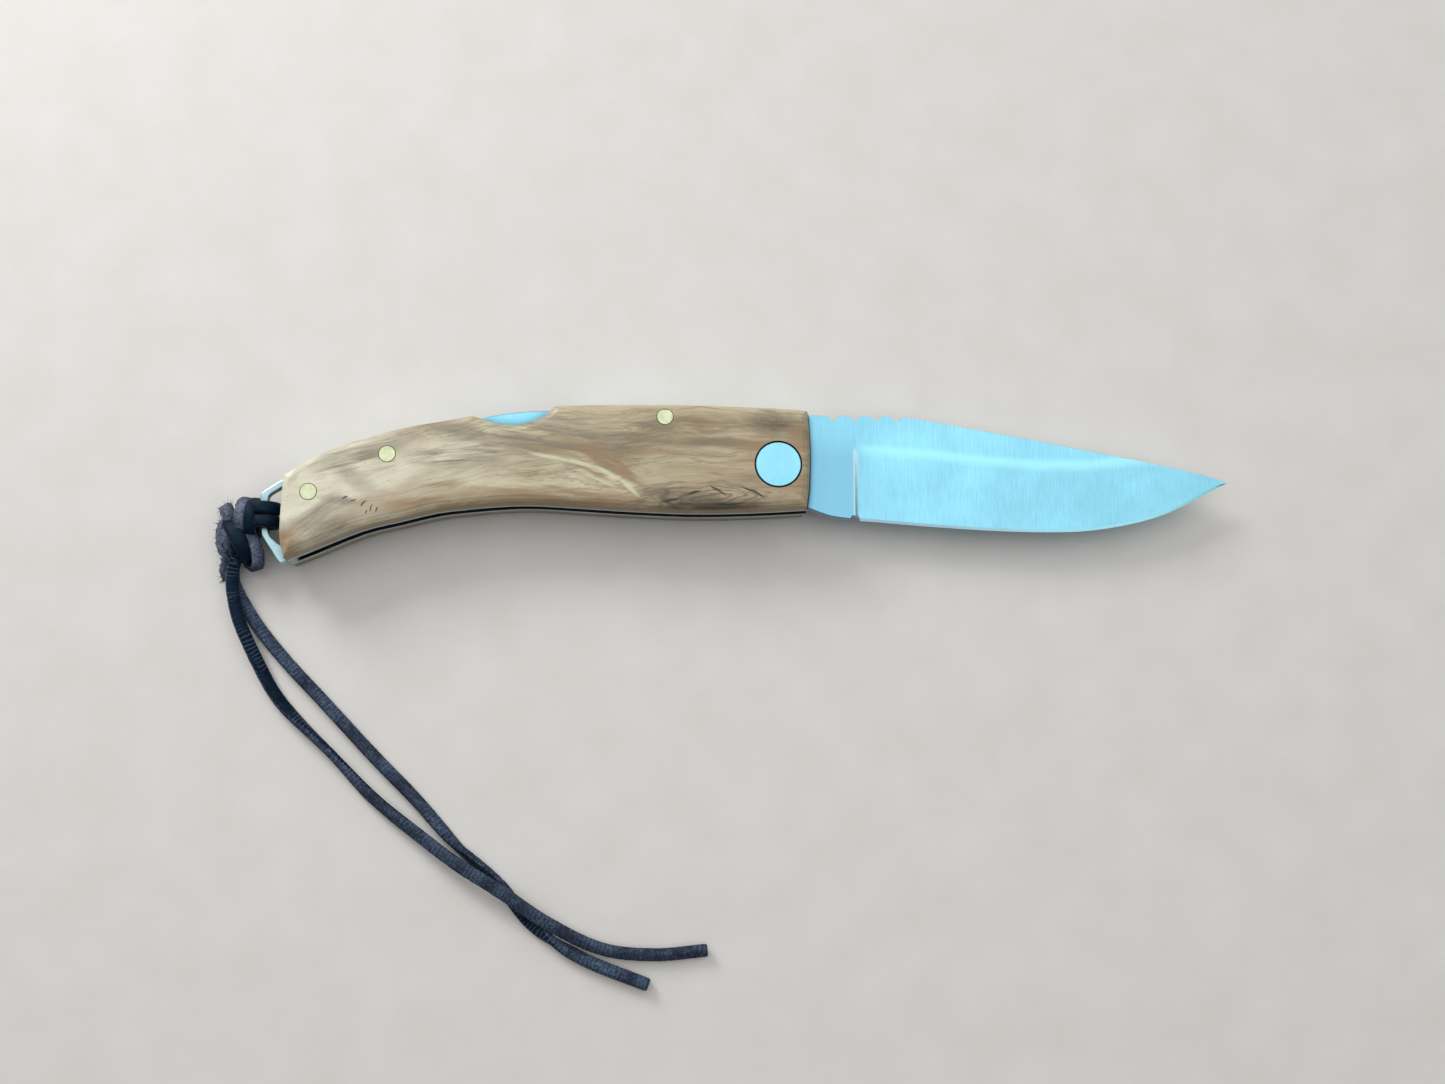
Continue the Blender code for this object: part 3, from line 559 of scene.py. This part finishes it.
def blade_steel(name, colour):
    """The blade: brushed from spine to edge, cloudy, with painted highlights along the grind line, the
    plunge and the spine, and a grey edge that brightens towards the tip as a painted highlight.

    share is the place along the blade, in parts of BLADE_LONG, and rise the height over the grind
    line in the same parts. Half is added to rise, because a ramp needs a value over 0.
    """
    looks = Looks(name, {"Metallic": 1.0})
    base = brushed(looks, colour, (0.32, 9.0), 0.30)
    hairs = looks.noise(looks.place(size=millimetres(0.09, 3.5, 0.4)), 1.0, detail=3, rough=0.5)
    base = looks.mix(0.7, base, looks.ramp(hairs, [(0.3, 0.86), (0.7, 1.08)]), "MULTIPLY")
    coordinates = looks.add("ShaderNodeTexCoord", {})
    across = looks.add("ShaderNodeSeparateXYZ", {"Vector": coordinates.outputs["Object"]}).outputs

    share = looks.math("DIVIDE", across["X"], BLADE_LONG * MM)
    ground = looks.ramp(share, [(0.155, 0.0), (0.175, 1.0)])
    line = looks.ramp(share, [(x / BLADE_LONG, y / BLADE_LONG) for x, y in GRIND_LINE])
    rise = looks.math("SUBTRACT", looks.math("DIVIDE", across["Y"], BLADE_LONG * MM), line)
    rise = looks.math("ADD", rise, 0.5)
    # Painted highlight: a soft bright line along the grind line, on the ground part only.
    grind_highlight = looks.ramp(rise, [(0.484, 0.0), (0.497, 0.5), (0.503, 0.5), (0.514, 0.0)])
    base = looks.mix(looks.times(grind_highlight, ground), base, BRIGHT_HIGHLIGHT_STEEL)
    below = looks.ramp(rise, [(0.48, 1.0), (0.52, 0.0)])
    tang = looks.times(looks.ramp(share, [(0.152, 1.0), (0.155, 0.0)]), below)
    base = looks.mix(looks.times(tang, 0.75), base, TANG_STEEL)
    root = looks.ramp(share, [(0.02, 0.55), (0.24, 0.0)])
    base = looks.mix(root, base, TANG_STEEL)

    # Painted highlight: a thin white line at the plunge, made barely metallic so that it stays bright.
    stripe = looks.ramp(share, [(0.1515, 0.0), (0.1530, 1.0), (0.1550, 1.0), (0.1568, 0.0)])
    plunge = looks.times(stripe, looks.ramp(rise, [(0.492, 1.0), (0.504, 0.0)]))
    base = looks.mix(plunge, base, WHITE_HIGHLIGHT_STEEL)
    looks.feed(looks.shader.inputs["Metallic"], looks.ramp(plunge, [(0.0, 1.0), (1.0, 0.1)]))
    # Painted highlight: faces looking towards the spine (+Y) are whitened.
    base = looks.mix(looks.ramp(looks.facing("Y"), [(0.30, 0.0), (0.60, 0.9)]), base, WHITE_HIGHLIGHT_STEEL)
    # The edge's downward faces: a grey sharpened band that brightens towards the tip as a painted
    # highlight.
    downwards = looks.times(looks.facing("Y"), -1.0)
    edge_grey_and_tip_highlight = looks.ramp(share, [(0.30, GREY_STEEL), (0.75, BRIGHT_HIGHLIGHT_STEEL)])
    base = looks.mix(looks.ramp(downwards, [(0.15, 0.0), (0.20, 0.75)]), base, edge_grey_and_tip_highlight)
    # Painted shade: darker where little light gets in.
    looks.colour(painted_shade(looks, base, reach=2.5))
    return looks.material


def rivet_brass(name):
    """Pale yellow brass, dulled and finely scratched, as a filed and polished rivet head."""
    looks = Looks(name, {"Metallic": 1.0})
    along = looks.place(turn=0.5, size=millimetres(0.9, 0.08, 0.5))
    scratches = looks.noise(along, 1.0, detail=4)
    patina = looks.noise(looks.place(), 900, detail=3, rough=0.6)
    looks.colour(looks.ramp(patina, [(0.3, (0.50, 0.55, 0.34)), (0.7, (0.66, 0.72, 0.47))]))
    looks.roughness(looks.ramp(scratches, [(0.3, 0.26), (0.7, 0.42)]))
    looks.bump(scratches, 0.01 * MM, 0.5)
    return looks.material


def washer_bronze(name):
    looks = Looks(name, {"Metallic": 1.0})
    patina = looks.noise(looks.place(), 1200, detail=3, rough=0.6)
    looks.colour(looks.ramp(patina, [(0.3, (0.42, 0.25, 0.11)), (0.7, (0.60, 0.38, 0.19))]))
    looks.roughness(looks.ramp(patina, [(0.3, 0.34), (0.7, 0.48)]))
    return looks.material


CREASE_PITCH = 0.8 * MM
CREASED_LEATHER = (0.10, 0.18, 0.26)
FUZZY_LEATHER = (0.30, 0.34, 0.40)
WORN_LEATHER = (0.19, 0.22, 0.29)
# Where the rough side is worn palest, round the knot: middle and half sizes in millimetres.
WORN_SPOTS = [
    ((-105.2, -9.0), (3.0, 3.2)),
    ((-106.8, -13.6), (3.0, 5.0)),
    ((-106.4, -19.0), (1.6, 3.6)),
    ((-101.8, -9.0), (1.6, 4.5)),
    ((-99.4, -17.0), (1.8, 3.5)),
]


def lace_leather(name):
    """Dyed leather: blue-black on the smooth side, and grey, rough and fibrous on the cut sides.

    It is creased where the mesh's attribute along, the distance along the lace, isn't 0.
    """
    looks = Looks(name, {"Specular IOR Level": 0.10, "Sheen Weight": 0.02, "Sheen Roughness": 0.5})
    place = looks.place()
    flesh = looks.attribute("flesh")
    along = looks.attribute("along")
    fine = looks.noise(place, 2300, detail=4, rough=0.7)
    coarse = looks.noise(place, 560, detail=3, rough=0.6)
    broad = looks.noise(place, 170, detail=2, rough=0.5)
    smooth_side = looks.ramp(coarse, [(0.3, (0.0005, 0.005, 0.016)), (0.7, (0.003, 0.017, 0.036))])
    rough_side = looks.ramp(
        fine, [(0.30, (0.014, 0.022, 0.040)), (0.52, (0.034, 0.048, 0.080)), (0.74, (0.11, 0.14, 0.20))]
    )
    rough_side = looks.mix(1.0, rough_side, looks.ramp(coarse, [(0.3, 0.65), (0.7, 1.35)]), "MULTIPLY")
    rough_side = looks.mix(1.0, rough_side, looks.ramp(broad, [(0.35, 0.75), (0.65, 1.3)]), "MULTIPLY")
    for centre, size in WORN_SPOTS:
        spot = looks.ramp(looks.blob(place, centre, size), [(0.0, 0.0), (0.6, 0.8)])
        worn = looks.times(spot, looks.ramp(fine, [(0.35, 0.2), (0.6, 1.0)]))
        rough_side = looks.mix(worn, rough_side, WORN_LEATHER)
    edge = looks.math("ADD", flesh, looks.times(looks.math("SUBTRACT", coarse, 0.5), 0.7))
    base = looks.mix(looks.ramp(edge, [(0.35, 0.0), (0.62, 1.0)]), smooth_side, rough_side)
    corner = looks.ramp(edge, [(0.30, 0.0), (0.48, 1.0), (0.62, 0.0)])
    fuzzy = looks.times(corner, looks.ramp(fine, [(0.48, 0.0), (0.66, 0.8)]))
    base = looks.mix(fuzzy, base, FUZZY_LEATHER)
    wander = looks.times(looks.math("SUBTRACT", looks.noise(place, 420, detail=2), 0.5), 9.0)
    angle = looks.times(along, 2 * math.pi / CREASE_PITCH)
    turns = looks.math("SINE", looks.math("ADD", angle, wander))
    creased = looks.math("GREATER_THAN", along, 0.0)
    patches = looks.times(looks.ramp(broad, [(0.44, 0.0), (0.56, 1.0)]), creased)
    crease = looks.times(looks.ramp(turns, [(0.6, 0.0), (0.95, 1.0)]), patches)
    base = looks.mix(looks.times(crease, 0.5), base, CREASED_LEATHER)
    looks.colour(base)
    looks.roughness(looks.ramp(flesh, [(0.2, 0.48), (0.6, 0.85)]))
    looks.bump(fine, 0.10 * MM, 0.6)
    looks.bump(crease, 0.06 * MM, 0.6)
    return looks.material


def paint_frame():
    """Gives every CAD node that stays on show its material."""
    finishes = {
        "scale_near": olive_wood(
            "olive_wood_near", (0, 0, 0), NEAR_STAINS, NEAR_FIGURE, NEAR_KNOT, NEAR_PALE, NEAR_CRACKS
        ),
        "scale_far": olive_wood(
            "olive_wood_far", (0, 0, 0.05), FAR_STAINS, FAR_FIGURE, FAR_KNOT, FAR_PALE, FAR_CRACKS
        ),
        "blade": blade_steel("satin_blade", BLUE_STEEL),
        "lock_bar": satin_steel("satin_lock_bar", BLUE_STEEL, (2.4, 0.12)),
        "spacer": satin_steel("satin_spacer", (0.42, 0.62, 0.68), (1.2, 0.3)),
        "lock_spring": satin_steel("spring_steel", (0.42, 0.46, 0.50), (1.6, 0.2), rough=0.36),
        "pivot_pin": satin_steel("turned_pin", BLUE_STEEL, (0.3, 0.3), rough=0.26),
        "lock_pin": rivet_brass("brass_rivet"),
        "washer_near": washer_bronze("bronze_washer"),
    }
    liner = liner_steel("satin_liner", (0.66, 0.82, 0.86))
    disc = satin_steel("satin_disc", BLUE_STEEL, (0.22, 1.1), turn=20)
    finishes["liner_near"] = finishes["liner_far"] = liner
    finishes["pivot_disc_near"] = finishes["pivot_disc_far"] = disc
    finishes["spacer_pin_front"] = finishes["spacer_pin_rear"] = finishes["lock_pin"]
    finishes["washer_far"] = finishes["washer_near"]
    for name, finish in finishes.items():
        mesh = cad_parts[name].data
        mesh.materials.clear()
        mesh.materials.append(finish)


def bend_spring():
    """A copy of the leaf spring's CAD node, in its place, shown instead of the node."""
    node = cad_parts["lock_spring"]
    mesh = node.data.copy()
    mesh.transform(node.matrix_world)
    spring = linked("leaf_spring", mesh)
    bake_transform(spring)
    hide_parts("lock_spring")


# ---------------------------------------------------------------- leather lace


def smooth_line(points, step):
    """Points about a step apart on a smooth curve through the given ones (Catmull-Rom)."""
    known = [Vector(point) for point in points]
    known = [2 * known[0] - known[1], *known, 2 * known[-1] - known[-2]]
    found = []
    for before, start, end, after in zip(known, known[1:], known[2:], known[3:]):
        count = max(1, round((end - start).length / step))
        for i in range(count):
            t = i / count
            linear = (end - before) * t
            square = (2 * before - 5 * start + 4 * end - after) * t**2
            cube = (3 * start - before - 3 * end + after) * t**3
            found.append(0.5 * (2 * start + linear + square + cube))
    return found + [known[-2]]


def between(values, share):
    """The value a share of the way along a list, smoothly between its members."""
    place = share * (len(values) - 1)
    low = min(int(place), len(values) - 2)
    t = place - low
    t = t * t * (3 - 2 * t)
    return values[low] * (1 - t) + values[low + 1] * t


def stand_for(piece, node):
    """The piece moves with the handle, and takes the place of one of its leather CAD nodes."""
    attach(piece, "handle")
    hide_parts(node)


def lace_section(width, thick):
    """(across, up, flesh) round the lace. flesh is 1 on the rough side and on the cut edges."""
    points = []
    for i in range(LACE_SIDES):
        angle = 2 * math.pi * i / LACE_SIDES
        cos, sin = math.cos(angle), math.sin(angle)
        across = math.copysign(abs(cos) ** (2 / LACE_SQUARE), cos) * width / 2
        up = math.copysign(abs(sin) ** (2 / LACE_SQUARE), sin) * thick / 2
        points.append((across, up, 1.0 if sin < SMOOTH_FROM else 0.0))
    return points


def ring_frames(line, outward, closed):
    """(across, up) directions at each point: up is outward, made square to the line."""
    frames = []
    last = len(line) - 1
    for i, point in enumerate(line):
        before = line[i - 1] if i or closed else point
        after = line[(i + 1) % len(line)] if i < last or closed else point
        tangent = (after - before).normalized()
        facing = outward(point, tangent, i / last)
        up = (facing - facing.dot(tangent) * tangent).normalized()
        frames.append((up.cross(tangent), up))
    return frames


def make_lace(name, line, outward, leather, closed=False, creased=False, size=LACE_SIZE, ruffle=RUFFLE):
    """A flat lace swept along a line.

    outward(point, tangent, share) says where its smooth side faces. size is its width and thickness,
    and ruffle how far, in millimetres, its rough sides are pushed in and out.
    """
    section = lace_section(*size)
    work = bmesh.new()
    flesh = work.verts.layers.float.new("flesh")
    along = work.verts.layers.float.new("along")
    rings = []
    far = 0.0
    for i, (point, (across, up)) in enumerate(zip(line, ring_frames(line, outward, closed))):
        far += (point - line[i - 1]).length if i else 0.0
        end = not closed and i in (0, len(line) - 1)
        shrink = CUT_END_SHARE if end else 1.0
        places = []
        for sideways, height, rough in section:
            place = point + (across * sideways + up * height) * shrink
            push = noise.noise(place * RUFFLE_SCALE) * ruffle * MM * (SMOOTH_RUFFLE + rough)
            places.append(place + (place - point).normalized() * push)
        lift = max(0.0, FLOOR_GAP - min(place.z for place in places))
        ring = [work.verts.new(place + Vector((0, 0, lift))) for place in places]
        for vertex, (_, _, rough) in zip(ring, section):
            vertex[flesh] = rough
            vertex[along] = far if creased else 0.0
        rings.append(ring)
    pairs = list(zip(rings, rings[1:])) + ([(rings[-1], rings[0])] if closed else [])
    for ring, following in pairs:
        for i in range(LACE_SIDES):
            j = (i + 1) % LACE_SIDES
            work.faces.new((ring[i], ring[j], following[j], following[i]))
    if not closed:
        work.faces.new(rings[0])
        work.faces.new(rings[-1])
    bmesh.ops.recalc_face_normals(work, faces=work.faces)
    mesh = bpy.data.meshes.new(name)
    work.to_mesh(mesh)
    work.free()
    mesh.shade_smooth()
    mesh.materials.append(leather)
    return linked(name, mesh)


def rolled(angles):
    """Says where a strand's smooth side faces: up, rolled about the strand by angles along it."""

    def outward(_point, tangent, share):
        side = tangent.cross(Vector((0, 0, 1))).normalized()
        up = side.cross(tangent)
        roll = math.radians(between(angles, share))
        return up * math.cos(roll) + side * math.sin(roll)

    return outward


def away_from(centre):
    """Says where a turn's smooth side faces: away from the middle of the turn."""
    return lambda point, _tangent, _share: point - centre


def towards(centre):
    return lambda point, _tangent, _share: centre - point


def in_metres(points):
    return [Vector(point) * MM for point in points]


def make_strand(node, route, rolls, leather):
    """A free strand, and the line that its middle follows out of the knot."""
    line = smooth_line(in_metres(route), LACE_STEP)
    strand = make_lace(node + "_lace", line, rolled(rolls), leather, creased=True)
    stand_for(strand, node)
    return strand, line


def make_loop(name, node, leather):
    """One turn of the lace over the bail's end bar and back under it, into the knot."""
    low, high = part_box(node)
    y = middle_of(node)[1]
    top, base = high.z / MM - LOOP_INSET, low.z / MM + LOOP_INSET
    middle = (top + base) / 2
    bar_x = high.x / MM - LOOP_FRONT
    reach = LOOP_FRONT - LOOP_FRONT_INSET
    places = [(-100.4, y, 5.4), (-99.9, y, 6.5), (-99.5, y, 7.6), (-98.9, y, top - 0.2), (-98.1, y, top)]
    for step in range(1, LOOP_STEPS):
        angle = math.pi * (0.5 - step / LOOP_STEPS)
        rise = (top - base) / 2 * math.sin(angle)
        places.append((bar_x + reach * math.cos(angle), y, middle + rise))
    places += [(-98.2, y, base), (-99.6, y, base), (-101.0, y, base + 0.5)]
    centre = Vector((bar_x - 1.5, y, middle)) * MM
    line = smooth_line(in_metres(places), LACE_STEP)
    loop = make_lace(name, line, away_from(centre), leather)
    stand_for(loop, node)
    return loop


def oval(centre, along, lean, radii, count=14):
    """Points round an oval. along is its level direction from +X, lean its tilt, in degrees."""
    along, lean = math.radians(along), math.radians(lean)
    level = Vector((math.cos(along), math.sin(along), 0))
    rising = Vector((-math.sin(along) * math.sin(lean), math.cos(along) * math.sin(lean), math.cos(lean)))
    angles = [2 * math.pi * i / count for i in range(count)]
    return [
        Vector(centre) + level * radii[0] * math.cos(angle) + rising * radii[1] * math.sin(angle)
        for angle in angles
    ]


# The knot, in millimetres: a core, turns of lace round it, and the ends that stick out of it.
KNOT_CORE = Vector((-103.9, -13.2, 3.7)) * MM
KNOT_CORE_RADII = (3.2, 4.7, 3.2)
KNOT_TURNS = {
    # name: (centre, direction and lean in degrees, level and upright radius, smooth side out, width)
    "knot_turn_left": ((-102.0, -9.6, 4.9), 86, 0, (3.1, 3.1), False, 2.3),
    "knot_turn_right": ((-100.1, -9.9, 5.0), 86, 0, (3.3, 3.4), True, 2.1),
    "knot_wrap_left": ((-102.9, -13.9, 4.4), -60, 8, (4.0, 3.0), True, 3.0),
    "knot_wrap_right": ((-101.0, -15.3, 4.3), -66, 36, (4.0, 2.8), False, 2.3),
}
TURN_RUFFLE = 0.14
KNOT_ENDS = {
    # name: (route, smooth side's roll in degrees or None for inwards, width, thickness, ruffle)
    "knot_side": (
        [(-103.8, -9.4, 3.6), (-105.8, -10.6, 3.9), (-106.4, -13.0, 4.0), (-106.1, -15.4, 3.7),
         (-104.9, -17.3, 3.3), (-103.2, -18.2, 2.9)],
        None, 4.6, 1.9, 0.5,
    ),
    "knot_tail": (
        [(-103.6, -11.4, 5.6), (-104.2, -10.1, 6.2), (-104.9, -8.8, 6.2), (-105.5, -7.6, 5.6)],
        [130, 145, 160], 2.6, 1.8, 0.4,
    ),
    "knot_strip": (
        [(-105.2, -16.2, 3.6), (-105.9, -18.0, 3.1), (-106.1, -19.8, 2.3), (-106.0, -21.2, 1.5)],
        [170, 170, 160], 1.2, 1.4, 0.35,
    ),
}


FIBRE_SEED = 7
FIBRES_EACH = 110
FIBRE_LONG = 1.1 * MM
FIBRE_RADIUS = 0.045 * MM
FIBRE_TAPER = 0.8


def make_core(leather):
    """The heart of the knot, where the laces press together: a lumpy mass behind the turns."""
    work = bmesh.new()
    flesh = work.verts.layers.float.new("flesh")
    work.verts.layers.float.new("along")
    bmesh.ops.create_icosphere(work, subdivisions=5, radius=1.0)
    for vertex in work.verts:
        broad, fine = noise.noise(vertex.co * 2.3), noise.noise(vertex.co * 9.0)
        lump = 1.0 + 0.10 * broad + 0.05 * fine
        spread = [lump * radius * MM for radius in KNOT_CORE_RADII]
        vertex.co = KNOT_CORE + Vector(co * size for co, size in zip(vertex.co, spread))
        vertex[flesh] = 0.9 if vertex.co.x < KNOT_CORE.x else 0.2
    mesh = bpy.data.meshes.new("knot_core")
    work.to_mesh(mesh)
    work.free()
    mesh.shade_smooth()
    mesh.materials.append(leather)
    return linked("knot_core", mesh)


def add_fibre(work, root, heading, curl, long):
    """One tapering, three-sided fibre that starts along heading and bends off along curl."""
    across = heading.orthogonal().normalized()
    side = heading.cross(across)
    corners = [2 * math.pi * i / 3 for i in range(3)]
    rings = []
    for share in (0.0, 0.35, 0.7, 1.0):
        middle = root + (heading * share + curl * share**2) * long
        middle.z = max(middle.z, 2 * FLOOR_GAP)
        radius = FIBRE_RADIUS * (1.0 - FIBRE_TAPER * share)
        places = [middle + radius * (across * math.cos(a) + side * math.sin(a)) for a in corners]
        rings.append([work.verts.new(place) for place in places])
    for ring, following in zip(rings, rings[1:]):
        for i in range(3):
            work.faces.new((ring[i], ring[i - 2], following[i - 2], following[i]))
    work.faces.new(reversed(rings[0]))
    work.faces.new(rings[-1])


def make_fibres(hosts, leather):
    """Loose fibres that stand out of the hosts' rough side."""
    chance = random.Random(FIBRE_SEED)
    work = bmesh.new()
    flesh = work.verts.layers.float.new("flesh")
    work.verts.layers.float.new("along")
    for host in hosts:
        roughness = [value.value for value in host.data.attributes["flesh"].data]
        rough = [vertex for vertex, value in zip(host.data.vertices, roughness) if value > 0.5]
        for vertex in chance.choices(rough, k=FIBRES_EACH):
            lean, curl = (Vector(chance.uniform(-0.6, 0.6) for _ in range(3)) for _ in range(2))
            heading = (vertex.normal + lean).normalized()
            long = chance.uniform(0.4, 1.0) * FIBRE_LONG
            add_fibre(work, vertex.co, heading, curl, long)
    for vertex in work.verts:
        vertex[flesh] = 1.0
    bmesh.ops.recalc_face_normals(work, faces=work.faces)
    mesh = bpy.data.meshes.new("knot_fibres")
    work.to_mesh(mesh)
    work.free()
    mesh.materials.append(leather)
    return linked("knot_fibres", mesh)


def make_knot(leather):
    """An overhand knot in the doubled lace: two upright turns, two slanting ones and its loose ends."""
    pieces = [make_core(leather)]
    for name, (centre, along, lean, radii, smooth_out, width) in KNOT_TURNS.items():
        points = in_metres(oval(centre, along, lean, radii))
        line = smooth_line([*points, points[0]], LACE_STEP)[:-1]
        middle = Vector(centre) * MM
        outward = away_from(middle) if smooth_out else towards(middle)
        size = (width * MM, LACE_THICK)
        turn = make_lace(name, line, outward, leather, closed=True, size=size, ruffle=TURN_RUFFLE)
        pieces.append(turn)
    for name, (route, rolls, width, thick, ruffle) in KNOT_ENDS.items():
        outward = rolled(rolls) if rolls else towards(KNOT_CORE)
        line = smooth_line(in_metres(route), LACE_STEP)
        size = millimetres(width, thick)
        pieces.append(make_lace(name, line, outward, leather, size=size, ruffle=ruffle))
    pieces.append(make_fibres(pieces[-len(KNOT_ENDS):], leather))
    for piece in pieces:
        stand_for(piece, "lanyard_knot")
    return pieces


def make_lanyard(leather):
    """The knot, its loops round the bail, and its two free strands."""
    pieces = make_knot(leather)
    for side in ("upper", "lower"):
        pieces.append(make_loop("lace_loop_" + side, "lanyard_loop_" + side, leather))
    strands = {
        "lanyard_strand_long": (LONG_ROOT + LONG_STRAND, LONG_ROLL, pieces),
        "lanyard_strand_short": (SHORT_ROOT + SHORT_STRAND, SHORT_ROLL, []),
    }
    for node, (route, rolls, with_pieces) in strands.items():
        strand, line = make_strand(node, route, rolls, leather)


# ---------------------------------------------------------------- all of it

make_camera()
make_lanyard(lace_leather("blue_black_leather"))
paint_frame()
bend_spring()
make_floor()
make_studio()
